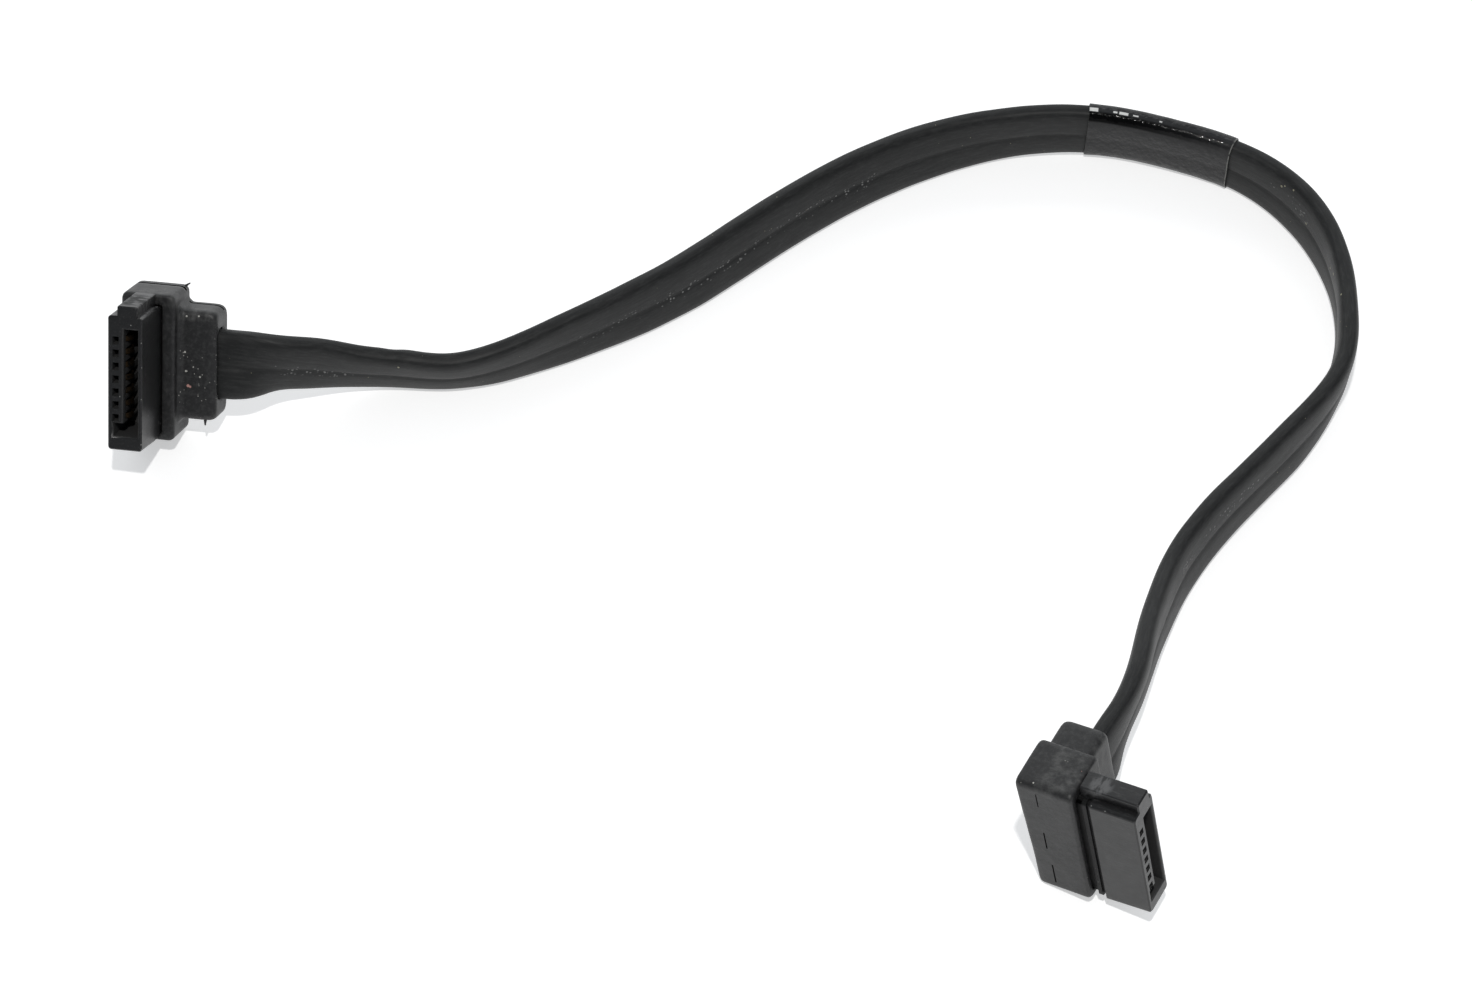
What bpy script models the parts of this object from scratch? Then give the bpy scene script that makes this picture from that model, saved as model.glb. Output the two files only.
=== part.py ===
# A flat SATA data cable with a right-angle moulded connector at each end.
# The ribbon stands on its edge in a wide arc; both connectors lie on their back lower edges.
# Metres, +Z up. Origin: on the table, at the centre of the two connectors' common box.

import math

import bmesh
import bpy
import numpy as np
from mathutils import Euler, Vector

# Each connector has its own frame: X runs from the contact wall to the cable's side,
# Y along the slot towards the rib, Z out of the mouth. Z = 0 is the mouth's face.

# Insulator housing
body_thick = 0.00334
body_corner = 0.0003
front_depth = 0.00435
waist_inset = 0.0003
groove_width = 0.0004
ridge_width = 0.0004
ridge_inset = 0.00012
exposed_depth = 0.00569
grip_depth = 0.0016
mouth_chamfer = 0.00012
rib_height = 0.00098
rib_from_contact_side = 0.0009
rib_from_thin_side = 0.00045

# L-shaped slot, the walls at its two ends and its lead-in
slot_width = 0.0014
slot_long = 0.01057
slot_depth = 0.0052
thin_wall = 0.00042
slot_foot_wall = 0.00135
slot_head_wall = 0.00128
leg_width = 0.00131
leg_reach = 0.001
lead_in = 0.00015

# Spring contacts and their channels
contact_count = 7
contact_pitch = 0.00127
contact_row_past_middle = 0.000365
contact_width = 0.0005
contact_thick = 0.0002
contact_play = 0.00012
contact_bump = 0.0003
contact_tip_depth = 0.001
contact_lead = 0.00074
channel_wall = 0.00045
window_width = 0.00062
bridge_depth = 0.0007
tail_reach = 0.0022
tail_bend = 0.0004

# Inner mould round the contact tails
inner_long = 0.0112
inner_contact_wall = 0.00025
inner_cable_wall = 0.0009
inner_back_wall = 0.0009
tail_run = 0.00125

# Outer mould: a rounded block and a neck for the cable
outer_long = 0.01455
outer_past_middle = 0.0002
outer_past_contact_side = 0.00055
outer_past_thin_side = 0.0014
outer_depth = 0.0052
outer_corner = 0.0006
outer_edge = 0.0004
neck_long = 0.011
neck_past_middle = 0.0004
neck_depth = 0.004
neck_reach = 0.0038
neck_back_step = 0.00005
neck_corner = 0.0006
neck_end_round = 0.0008
neck_end_inset = 0.00064
neck_root_round = 0.0003
cable_socket = 0.0017
cable_front_wall = 0.0007

# Flat cable: two oval lobes side by side, one for each shielded pair
cable_width = 0.0069
cable_thick = 0.002
cable_web = 0.00124
lobe_fullness = 2.5
pair_width = 0.0024
pair_thick = 0.0013

# Clear label wrapped round the cable, and where along the cable it starts
label_long = 0.0155
label_start = 0.0982
label_film = 0.00015
label_gap = 0.0001
label_bridge = 0.0006

# Moulded pieces stand this far apart where one grips the other, and the forms that cut
# a hollow reach this far past the face that they open.
seat_gap = 0.00015
cut_past = 0.0003

# Where each mouth's centre lies, which way its cable leaves (turn about Z, rise),
# and how far the connector leans over.
connector_a_at = (-0.04685, 0.01946)
connector_a_turn = -8.5
connector_a_rise = 1.9
connector_a_lean = -35.2
connector_b_at = (0.04679, -0.03047)
connector_b_turn = 59.5
connector_b_rise = 0.0
connector_b_lean = -13.2

# Route of the cable between the connectors, as it lies: x, y, height of its lower edge
# above the table in metres, and the lean of its wide side from upright in degrees.
route = (
    (-0.0342, 0.0259, 0.0037, -6.5),
    (-0.0304, 0.0270, 0.0024, 5.0),
    (-0.0262, 0.0279, 0.0009, 14.0),
    (-0.0218, 0.0282, 0.0002, 17.0),
    (-0.0173, 0.0280, 0.0001, 20.0),
    (-0.0114, 0.0295, 0.0001, 13.0),
    (-0.0057, 0.0323, 0.0001, 3.0),
    (0.0010, 0.0361, 0.0001, -6.0),
    (0.0062, 0.0397, 0.0001, -10.5),
    (0.0113, 0.0440, 0.0001, -12.5),
    (0.0164, 0.0483, 0.0001, -12.5),
    (0.0216, 0.0522, 0.0001, -11.5),
    (0.0272, 0.0556, 0.0001, -9.0),
    (0.0330, 0.0582, 0.0001, -4.0),
    (0.0389, 0.0598, 0.0002, 2.5),
    (0.0448, 0.0603, 0.0004, 6.0),
    (0.0508, 0.0597, 0.0004, 9.0),
    (0.0563, 0.0580, 0.0004, 9.5),
    (0.0616, 0.0559, 0.0002, 8.0),
    (0.0663, 0.0523, 0.0001, 3.0),
    (0.0698, 0.0470, 0.0001, -0.5),
    (0.0716, 0.0404, 0.0001, 3.5),
    (0.0716, 0.0333, 0.0001, 3.5),
    (0.0696, 0.0261, 0.0001, -4.0),
    (0.0655, 0.0199, 0.0001, 5.0),
    (0.0609, 0.0146, 0.0001, 6.5),
    (0.0566, 0.0097, 0.0001, 9.0),
    (0.0527, 0.0041, 0.0001, 11.0),
    (0.0504, -0.0010, 0.0009, 8.5),
    (0.0485, -0.0064, 0.0022, 5.0),
    (0.0467, -0.0121, 0.0035, 0.0),
    (0.0448, -0.0166, 0.0040, 4.0),
)
cable_points = 74
straight_past_exit = 0.001


def material(name, colour, rough, metal=0.0):
    mat = bpy.data.materials.new(name)
    mat.use_nodes = True
    shader = mat.node_tree.nodes["Principled BSDF"]
    shader.inputs["Base Color"].default_value = (*colour, 1.0)
    shader.inputs["Roughness"].default_value = rough
    shader.inputs["Metallic"].default_value = metal
    return mat


def put(name, bm, mat, parent=None):
    """Puts a finished bmesh into the scene as one named object."""
    bmesh.ops.recalc_face_normals(bm, faces=bm.faces)
    mesh = bpy.data.meshes.new(name)
    bm.to_mesh(mesh)
    bm.free()
    obj = bpy.data.objects.new(name, mesh)
    bpy.context.scene.collection.objects.link(obj)
    if mat:
        mesh.materials.append(mat)
    obj.parent = parent
    return obj


def smooth(obj, degrees=35):
    obj.data.shade_smooth()
    obj.data.set_sharp_from_angle(angle=math.radians(degrees))


def skin(bm, rings):
    """Joins rings of points into one closed skin, with a flat cap at each end."""
    loops = [[bm.verts.new(p) for p in ring] for ring in rings]
    count = len(loops[0])
    for lower, upper in zip(loops, loops[1:]):
        for i in range(count):
            j = (i + 1) % count
            bm.faces.new((lower[i], lower[j], upper[j], upper[i]))
    bm.faces.new(loops[0][::-1])
    bm.faces.new(loops[-1])


def rounded(left, right, low, high, radius, steps=3):
    """Rounded rectangle as a list of (u, v)."""
    out = []
    corners = (
        (right, high, 0),
        (left, high, 90),
        (left, low, 180),
        (right, low, 270),
    )
    for cu, cv, start in corners:
        a = cu - math.copysign(radius, cu - (left + right) / 2)
        b = cv - math.copysign(radius, cv - (low + high) / 2)
        for k in range(steps + 1):
            t = math.radians(start + 90 * k / steps)
            out.append((a + radius * math.cos(t), b + radius * math.sin(t)))
    return out


def cut(obj, cutter, kind="DIFFERENCE"):
    """Applies one Boolean and keeps the cutter out of the model."""
    mod = obj.modifiers.new(cutter.name, "BOOLEAN")
    mod.operation = kind
    mod.solver = "EXACT"
    mod.object = cutter
    cutter.hide_render = True
    cutter.display_type = "WIRE"


def lobe_sizes(width, thick, web):
    """Half length of one oval lobe and how far its middle lies from the cable's."""
    ratio = (1 - (web / thick) ** lobe_fullness) ** (1 / lobe_fullness)
    oval = width / 2 / (1 + ratio)
    return oval, oval * ratio


def lobed(width, thick, web, steps=10):
    """Outline of two overlapping full ovals: (across, along), the wide way along."""
    oval, centre = lobe_sizes(width, thick, web)
    power = 2 / lobe_fullness
    reach = math.pi - math.acos((centre / oval) ** (1 / power))
    out = []
    for side in (1, -1):
        for k in range(steps):
            t = reach - 2 * reach * k / steps
            u = math.copysign(abs(math.sin(t)) ** power, math.sin(t))
            v = math.copysign(abs(math.cos(t)) ** power, math.cos(t))
            out.append((side * thick / 2 * u, side * (centre + oval * v)))
    return out


def rest_height(lean):
    """Height of the cable's middle above its lowest line at this lean."""
    oval, centre = lobe_sizes(cable_width, cable_thick, cable_web)
    power = lobe_fullness / (lobe_fullness - 1)
    c = abs(math.cos(math.radians(lean)))
    s = abs(math.sin(math.radians(lean)))
    reach = ((oval * c) ** power + (cable_thick / 2 * s) ** power) ** (1 / power)
    return centre * c + reach


# Places along Z inside a connector, all from the mouth's face inwards
half_body = body_thick / 2
half_long = (slot_foot_wall + slot_long + slot_head_wall) / 2
slot_right = half_body - thin_wall
slot_left = slot_right - slot_width
slot_low = -half_long + slot_foot_wall
slot_high = slot_low + slot_long
leg_left = slot_left - leg_reach
channel_back = -half_body + channel_wall
strip_back = channel_back + contact_play
strip_mid = strip_back + contact_thick / 2
housing_end = exposed_depth + grip_depth
inner_start = housing_end + seat_gap
tail_depth = inner_start + tail_run
inner_end = tail_depth + contact_thick / 2 + contact_play + inner_back_wall
inner_left = channel_back - inner_contact_wall
inner_right = strip_mid + tail_reach + contact_play + inner_cable_wall
outer_left = -half_body - outer_past_contact_side
outer_right = half_body + outer_past_thin_side
outer_end = exposed_depth + outer_depth
neck_end = outer_right + neck_reach
neck_back = outer_end - neck_back_step
neck_front = neck_back - neck_depth
cable_mid = neck_front + cable_front_wall + cable_thick / 2
cable_end = neck_end - cable_socket


def contact_rows():
    middle = (slot_low + slot_high) / 2 + contact_row_past_middle
    top = middle + contact_pitch * (contact_count - 1) / 2
    return [top - contact_pitch * i for i in range(contact_count)]


def slot_outline(grow):
    """The L of the slot, grown outwards all round."""
    leg_top = slot_low + leg_width + grow
    return [
        (slot_right + grow, slot_low - grow),
        (slot_right + grow, slot_high + grow),
        (slot_left - grow, slot_high + grow),
        (slot_left - grow, leg_top),
        (leg_left - grow, leg_top),
        (leg_left - grow, slot_low - grow),
    ]


def housing(tag, parent, mat):
    bm = bmesh.new()
    rings = []
    for depth, inset in ((0.0, mouth_chamfer), (mouth_chamfer, 0.0), (housing_end, 0.0)):
        u, v = half_body - inset, half_long - inset
        outline = rounded(-u, u, -v, v, body_corner)
        rings.append([(x, y, -depth) for x, y in outline])
    skin(bm, rings)
    body = put("housing_" + tag, bm, mat, parent)

    # the waist, its groove and its ridge run round three sides, and not the thin one
    stations = (
        (-cut_past, -cut_past),
        (front_depth, -cut_past),
        (front_depth, waist_inset),
        (front_depth + groove_width, waist_inset),
        (front_depth + groove_width, ridge_inset),
        (front_depth + groove_width + ridge_width, ridge_inset),
        (front_depth + groove_width + ridge_width, waist_inset),
        (housing_end + cut_past, waist_inset),
    )
    bm = bmesh.new()
    past_thin_side = half_body + waist_inset + cut_past
    rings = []
    for depth, inset in stations:
        v = half_long - inset
        outline = rounded(-half_body + inset, past_thin_side - inset, -v, v, body_corner)
        rings.append([(x, y, -depth) for x, y in outline])
    skin(bm, rings)
    cut(body, put("waist_form_" + tag, bm, None, parent), "INTERSECT")

    bm = bmesh.new()
    left = -half_body + rib_from_contact_side
    right = half_body - rib_from_thin_side
    high = half_long + rib_height
    rings = []
    for depth, inset in ((0.0, mouth_chamfer), (mouth_chamfer, 0.0), (exposed_depth - seat_gap, 0.0)):
        low = half_long - 2 * waist_inset
        outline = rounded(left + inset, right - inset, low, high - inset, body_corner / 2, 2)
        rings.append([(x, y, -depth) for x, y in outline])
    skin(bm, rings)
    cut(body, put("rib_form_" + tag, bm, None, parent), "UNION")

    bm = bmesh.new()
    rings = []
    for height, grow in ((cut_past, lead_in + cut_past), (-lead_in, 0.0), (-slot_depth, 0.0)):
        rings.append([(x, y, height) for x, y in slot_outline(grow)])
    skin(bm, rings)
    cut(body, put("slot_form_" + tag, bm, None, parent))

    bm = bmesh.new()
    half = contact_width / 2 + contact_play
    window = channel_back + window_width
    hole = strip_mid + contact_thick / 2 + contact_play
    profile = [
        (channel_back, cut_past),
        (window, cut_past),
        (window, -bridge_depth),
        (slot_left + cut_past, -bridge_depth),
        (slot_left + cut_past, -slot_depth + cut_past),
        (hole, -slot_depth + cut_past),
        (hole, -housing_end - cut_past),
        (channel_back, -housing_end - cut_past),
    ]
    for y in contact_rows():
        skin(bm, [[(x, y + side * half, z) for x, z in profile] for side in (-1, 1)])
    cut(body, put("channel_form_" + tag, bm, None, parent))
    return body


def contact_path():
    """Middle line of one spring contact in X and Z, tip first."""
    crest = slot_left + contact_bump
    tip = (slot_left - contact_thick, -contact_tip_depth)
    crest_depth = contact_tip_depth + contact_lead
    foot_depth = slot_depth - 2 * contact_thick
    out = [tip]
    for k in range(1, 4):
        t = k / 4
        x = tip[0] + (crest - tip[0]) * math.sin(t * math.pi / 2)
        out.append((x, -contact_tip_depth - contact_lead * t))
    for k in range(9):
        t = k / 8
        x = strip_mid + (crest - strip_mid) * (1 + math.cos(t * math.pi)) / 2
        out.append((x, -crest_depth - (foot_depth - crest_depth) * t))
    for k in range(5):
        t = math.radians(22.5 * k)
        x = strip_mid + tail_bend * (1 - math.cos(t))
        out.append((x, -tail_depth + tail_bend - tail_bend * math.sin(t)))
    out.append((strip_mid + tail_reach, -tail_depth))
    return out


def thicken(path, thick):
    """Closed outline of a strip of even thickness along a path."""
    pts = np.array(path)
    run = np.gradient(pts, axis=0)
    run /= np.linalg.norm(run, axis=1)[:, None]
    side = np.stack([-run[:, 1], run[:, 0]], 1) * thick / 2
    return np.vstack([pts + side, (pts - side)[::-1]]).tolist()


def contact(tag, index, y, parent, mat):
    outline = thicken(contact_path(), contact_thick)
    half = contact_width / 2
    bm = bmesh.new()
    skin(bm, [[(x, y + side * half, z) for x, z in outline] for side in (-1, 1)])
    obj = put(f"contact_{tag}_{index}", bm, mat, parent)
    smooth(obj, 30)
    return obj


def inner_mould(tag, parent, mat):
    bm = bmesh.new()
    edge = inner_contact_wall / 2
    rings = []
    for depth, inset in (
        (inner_start, edge),
        (inner_start + edge, 0.0),
        (inner_end - edge, 0.0),
        (inner_end, edge),
    ):
        v = inner_long / 2 - inset
        outline = rounded(inner_left + inset, inner_right - inset, -v, v, 2 * edge)
        rings.append([(x, y, -depth) for x, y in outline])
    skin(bm, rings)
    body = put("inner_mould_" + tag, bm, mat, parent)

    bm = bmesh.new()
    half = contact_width / 2 + contact_play
    reach = contact_thick / 2 + contact_play
    foot = strip_mid + tail_reach + contact_play
    for y in contact_rows():
        bend = [
            (strip_mid - reach, -inner_start + seat_gap),
            (strip_mid + reach + tail_bend, -inner_start + seat_gap),
            (strip_mid + reach + tail_bend, -tail_depth + reach),
            (foot, -tail_depth + reach),
            (foot, -tail_depth - reach),
            (strip_mid - reach, -tail_depth - reach),
        ]
        skin(bm, [[(x, y + side * half, z) for x, z in bend] for side in (-1, 1)])
    cut(body, put("tail_form_" + tag, bm, None, parent))
    return body


def lobe_centre():
    return lobe_sizes(cable_width, cable_thick, cable_web)[1]


def oval(width, thick, centre, steps=12):
    out = []
    for k in range(steps):
        t = 2 * math.pi * k / steps
        out.append((centre + width / 2 * math.cos(t), -cable_mid + thick / 2 * math.sin(t)))
    return out


def pair_end(tag, index, parent, mat):
    """Shielded pair bared between the jacket's end and the inner mould."""
    centre = neck_past_middle + lobe_centre() * (1 if index == 1 else -1)
    bm = bmesh.new()
    outline = oval(pair_width, pair_thick, centre)
    span = (inner_right + seat_gap, cable_end - seat_gap)
    skin(bm, [[(x, y, z) for y, z in outline] for x in span])
    obj = put(f"pair_{tag}_{index}", bm, mat, parent)
    smooth(obj)
    return obj


def outer_mould(tag, parent, mat):
    bm = bmesh.new()
    rings = []
    half = outer_long / 2
    stations = [(exposed_depth, outer_edge / 2), (exposed_depth + outer_edge / 2, 0.0)]
    for k in range(4):
        t = math.radians(30 * k)
        drop = outer_edge * (1 - math.cos(t))
        stations.append((outer_end - outer_edge + outer_edge * math.sin(t), drop))
    for depth, inset in stations:
        low = outer_past_middle - half + inset
        high = outer_past_middle + half - inset
        outline = rounded(outer_left + inset, outer_right - inset, low, high, outer_corner, 4)
        rings.append([(x, y, -depth) for x, y in outline])
    skin(bm, rings)
    body = put("overmould_" + tag, bm, mat, parent)

    bm = bmesh.new()
    rings = []
    sections = [(outer_right - neck_root_round, neck_root_round)]
    for k in range(4):
        t = math.radians(30 * k)
        sections.append(
            (outer_right + neck_root_round * math.sin(t), neck_root_round * math.cos(t) * (k < 3))
        )
    for k in range(4):
        t = math.radians(30 * k)
        sections.append(
            (
                neck_end - neck_end_round + neck_end_round * math.sin(t),
                -neck_end_inset * (1 - math.cos(t)),
            )
        )
    for x, grow in sections:
        v = neck_long / 2 + grow
        lift = max(grow, 0.0)
        shrink = min(grow, 0.0) / 2
        outline = rounded(
            neck_past_middle - v,
            neck_past_middle + v,
            -neck_back - shrink,
            -neck_front + lift + shrink,
            neck_corner,
            3,
        )
        rings.append([(x, y, z) for y, z in outline])
    skin(bm, rings)
    cut(body, put("neck_form_" + tag, bm, None, parent), "UNION")

    bm = bmesh.new()
    left = -half_body + waist_inset - seat_gap
    v = half_long - waist_inset + seat_gap
    rings = []
    for depth in (exposed_depth - cut_past, inner_start):
        outline = rounded(left, half_body + seat_gap, -v, v, body_corner, 3)
        rings.append([(x, y, -depth) for x, y in outline])
    skin(bm, rings)
    cut(body, put("grip_form_" + tag, bm, None, parent))

    bm = bmesh.new()
    v = inner_long / 2 + seat_gap
    rings = []
    for depth in (housing_end - cut_past, inner_end + seat_gap):
        outline = rounded(
            inner_left - seat_gap, inner_right + seat_gap, -v, v, inner_contact_wall + seat_gap, 3
        )
        rings.append([(x, y, -depth) for x, y in outline])
    skin(bm, rings)
    cut(body, put("inner_form_" + tag, bm, None, parent))

    bm = bmesh.new()
    for side in (1, -1):
        centre = neck_past_middle + side * lobe_centre()
        outline = oval(pair_width + 2 * seat_gap, pair_thick + 2 * seat_gap, centre)
        skin(bm, [[(x, y, z) for y, z in outline] for x in (inner_right - cut_past, cable_end)])
    cut(body, put("pair_form_" + tag, bm, None, parent))

    bm = bmesh.new()
    outline = lobed(
        cable_width + 2 * seat_gap, cable_thick + 2 * seat_gap, cable_web + 2 * seat_gap
    )
    span = (cable_end - seat_gap, neck_end + cut_past)
    skin(bm, [[(x, neck_past_middle + y, z - cable_mid) for z, y in outline] for x in span])
    cut(body, put("socket_form_" + tag, bm, None, parent))
    smooth(body, 28)
    return body


def connector(tag, at, turn, rise, lean, mats):
    """Builds one connector and lays it on the table. Returns its frame."""
    frame = bpy.data.objects.new("connector_" + tag, None)
    bpy.context.scene.collection.objects.link(frame)
    angles = Euler((math.radians(90 + lean), math.radians(-rise), math.radians(turn)))
    frame.rotation_euler = angles
    frame.location = (at[0], at[1], 0.0)
    housing(tag, frame, mats["housing"])
    for i, y in enumerate(contact_rows()):
        contact(tag, i + 1, y, frame, mats["contact"])
    inner_mould(tag, frame, mats["inner"])
    for index in (1, 2):
        pair_end(tag, index, frame, mats["pair"])
    shell = outer_mould(tag, frame, mats["outer"])
    bpy.context.view_layer.update()
    solid = shell.evaluated_get(bpy.context.evaluated_depsgraph_get())
    frame.location.z = -min((solid.matrix_world @ v.co).z for v in solid.data.vertices)
    bpy.context.view_layer.update()
    return frame


def exit_points(frame):
    """Cable's end in its socket, where it leaves the neck, and a little past that."""
    spots = (cable_end, neck_end, neck_end + straight_past_exit)
    return [frame.matrix_world @ Vector((x, neck_past_middle, -cable_mid)) for x in spots]


def lean_of(frame, away):
    """Lean of the connector's long side seen along the way the cable runs."""
    along = frame.matrix_world.to_3x3() @ Vector((away, 0, 0))
    wide = frame.matrix_world.to_3x3() @ Vector((0, 1, 0))
    side = along.cross(Vector((0, 0, 1))).normalized()
    level = side.cross(along)
    return math.degrees(math.atan2(wide.dot(side), wide.dot(level)))


def spline(knots, values, at):
    """Natural cubic curve through values at knots, read at other places."""
    n = len(knots)
    h = np.diff(knots)
    m = np.eye(n)
    r = np.zeros((n, values.shape[1]))
    for i in range(1, n - 1):
        m[i, i - 1 : i + 2] = (h[i - 1], 2 * (h[i - 1] + h[i]), h[i])
        r[i] = 6 * ((values[i + 1] - values[i]) / h[i] - (values[i] - values[i - 1]) / h[i - 1])
    bend = np.linalg.solve(m, r)
    i = np.clip(np.searchsorted(knots, at, side="right") - 1, 0, n - 2)
    a = (knots[i + 1] - at) / h[i]
    b = (at - knots[i]) / h[i]
    curve = a[:, None] * values[i] + b[:, None] * values[i + 1]
    turn = (a**3 - a)[:, None] * bend[i] + (b**3 - b)[:, None] * bend[i + 1]
    return curve + turn * (h[i] ** 2)[:, None] / 6


def cable_route(frame_a, frame_b):
    """The route as even steps: points, leans and lengths."""
    rows = []
    lean_a = lean_of(frame_a, 1)
    lean_b = lean_of(frame_b, -1)
    for p in exit_points(frame_a):
        rows.append((*p, lean_a))
    for x, y, lift, lean in route:
        rows.append((x, y, lift + rest_height(lean), lean))
    for p in reversed(exit_points(frame_b)):
        rows.append((*p, lean_b))
    rows = np.array(rows)
    knots = np.r_[0, np.cumsum(np.linalg.norm(np.diff(rows[:, :3], axis=0), axis=1))]
    fine = spline(knots, rows, np.linspace(0, knots[-1], 4000))
    length = np.r_[0, np.cumsum(np.linalg.norm(np.diff(fine[:, :3], axis=0), axis=1))]
    return fine, length


def profile_curve(name, outline):
    data = bpy.data.curves.new(name, "CURVE")
    data.dimensions = "2D"
    line = data.splines.new("POLY")
    line.points.add(len(outline) - 1)
    for point, (u, v) in zip(line.points, reversed(outline)):
        point.co = (u, v, 0.0, 1.0)
    line.use_cyclic_u = True
    obj = bpy.data.objects.new(name, data)
    bpy.context.scene.collection.objects.link(obj)
    obj.hide_render = True
    obj.display_type = "WIRE"
    return obj


def ribbon(name, outline, fine, length, start, end, count, mat, capped):
    """Sweeps a profile along the route between two lengths."""
    at = np.linspace(start, end, count)
    rows = np.stack([np.interp(at, length, fine[:, k]) for k in range(4)], 1)
    data = bpy.data.curves.new(name, "CURVE")
    data.dimensions = "3D"
    data.twist_mode = "Z_UP"
    data.bevel_mode = "OBJECT"
    data.bevel_object = profile_curve(name + "_profile", outline)
    data.use_fill_caps = capped
    line = data.splines.new("POLY")
    line.points.add(count - 1)
    for point, (x, y, z, lean) in zip(line.points, rows):
        point.co = (x, y, z, 1.0)
        point.tilt = math.radians(lean)
    line.use_smooth = True
    obj = bpy.data.objects.new(name, data)
    bpy.context.scene.collection.objects.link(obj)
    data.materials.append(mat)
    return obj


def main():
    for obj in list(bpy.data.objects):
        bpy.data.objects.remove(obj, do_unlink=True)
    mats = {
        "housing": material("housing_black", (0.012, 0.012, 0.013), 0.42),
        "contact": material("contact_gold", (0.83, 0.62, 0.25), 0.3, 1.0),
        "inner": material("inner_natural", (0.66, 0.64, 0.58), 0.55),
        "pair": material("pair_foil", (0.72, 0.73, 0.75), 0.35, 1.0),
        "outer": material("overmould_black", (0.016, 0.016, 0.017), 0.6),
        "cable": material("cable_black", (0.014, 0.014, 0.015), 0.45),
        "label": material("label_film", (0.06, 0.06, 0.062), 0.2),
    }
    frame_a = connector(
        "a", connector_a_at, connector_a_turn, connector_a_rise, connector_a_lean, mats
    )
    frame_b = connector(
        "b", connector_b_at, connector_b_turn, connector_b_rise, connector_b_lean, mats
    )
    fine, length = cable_route(frame_a, frame_b)
    ribbon(
        "flat_cable",
        lobed(cable_width, cable_thick, cable_web),
        fine,
        length,
        0.0,
        length[-1],
        cable_points,
        mats["cable"],
        True,
    )
    grow = 2 * label_gap
    sleeve = ribbon(
        "label_sleeve",
        lobed(cable_width + grow, cable_thick + grow, cable_web + label_bridge),
        fine,
        length,
        label_start,
        label_start + label_long,
        8,
        mats["label"],
        False,
    )
    film = sleeve.modifiers.new("film", "SOLIDIFY")
    film.thickness = label_film
    film.offset = 1.0
    film.use_rim = True
    film.use_even_offset = True


main()
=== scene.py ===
# Looks of a flat drive data cable: a ribbon standing on its edge in a wide arc,
# a moulded right-angle connector at each end, a clear label near the top of the arc.
import math

import bmesh
import bpy
import numpy as np
from mathutils import Euler, Matrix, Vector, noise


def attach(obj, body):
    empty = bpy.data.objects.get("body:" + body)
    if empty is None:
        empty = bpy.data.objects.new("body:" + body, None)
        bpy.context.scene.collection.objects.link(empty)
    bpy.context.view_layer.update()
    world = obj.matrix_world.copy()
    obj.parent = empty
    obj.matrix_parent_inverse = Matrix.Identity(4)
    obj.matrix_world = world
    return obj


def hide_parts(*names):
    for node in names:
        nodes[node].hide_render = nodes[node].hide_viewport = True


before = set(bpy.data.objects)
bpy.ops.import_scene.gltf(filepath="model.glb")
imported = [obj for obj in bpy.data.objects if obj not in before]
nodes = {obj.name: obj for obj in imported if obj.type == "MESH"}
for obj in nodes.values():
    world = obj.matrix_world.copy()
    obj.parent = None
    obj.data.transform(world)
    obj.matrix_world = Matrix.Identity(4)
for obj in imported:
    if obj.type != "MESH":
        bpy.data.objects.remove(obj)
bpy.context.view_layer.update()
print("frame loaded,", len(nodes), "nodes")

# where the photo was taken from, in metres and degrees
view = dict(
    lookAt=(0.011, 0.0145, 0.0),
    elevation=53.0,
    distance=0.3167,
    photoWidth=1472,  # pixels
    focalPixels=3277,
    sensor=36.0,
)


def placeCamera():
    data = bpy.data.cameras.new("camera")
    data.sensor_width = view["sensor"]
    data.lens = view["focalPixels"] * view["sensor"] / view["photoWidth"]
    data.clip_start = 0.01
    data.clip_end = 10.0
    camera = bpy.data.objects.new("camera", data)
    bpy.context.scene.collection.objects.link(camera)
    tilt = math.radians(view["elevation"])
    back = Vector((0.0, -math.cos(tilt), math.sin(tilt)))
    camera.location = Vector(view["lookAt"]) + back * view["distance"]
    camera.rotation_euler = Euler((math.pi / 2 - tilt, 0.0, 0.0))
    bpy.context.scene.camera = camera


placeCamera()
print("camera placed")


# node helpers

def node(tree, kind, inputs=None, **settings):
    made = tree.nodes.new(kind)
    for key, value in settings.items():
        setattr(made, key, value)
    for key, value in (inputs or {}).items():
        if isinstance(value, bpy.types.NodeSocket):
            tree.links.new(value, made.inputs[key])
        else:
            made.inputs[key].default_value = value
    return made


def sums(tree, operation, first, second):
    return node(tree, "ShaderNodeMath", {0: first, 1: second}, operation=operation).outputs[0]


def scaled(tree, value, factor, start):
    made = node(tree, "ShaderNodeMath", {0: value, 1: factor, 2: start}, operation="MULTIPLY_ADD")
    return made.outputs[0]


def wandering(tree, value, middle, spread):
    # follows the value, by half the spread to each side of the middle
    return scaled(tree, value, spread, middle - spread / 2)


def fade(tree, value, start, end):
    # 0 at start and 1 at end, smooth between
    made = node(
        tree,
        "ShaderNodeMapRange",
        {"Value": value, "From Min": start, "From Max": end, "To Min": 0.0, "To Max": 1.0},
        interpolation_type="SMOOTHSTEP",
    )
    return made.outputs[0]


def mixed(tree, factor, first, second):
    made = node(tree, "ShaderNodeMix", data_type="RGBA")
    for index, value in ((0, factor), (6, first), (7, second)):
        if isinstance(value, bpy.types.NodeSocket):
            tree.links.new(value, made.inputs[index])
        else:
            made.inputs[index].default_value = (*value, 1.0) if index else value
    return made.outputs[2]


unstretched = (1.0, 1.0, 1.0)


def stretched(tree, vector, scale):
    return node(tree, "ShaderNodeMapping", {"Vector": vector, "Scale": scale}).outputs[0]


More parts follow.
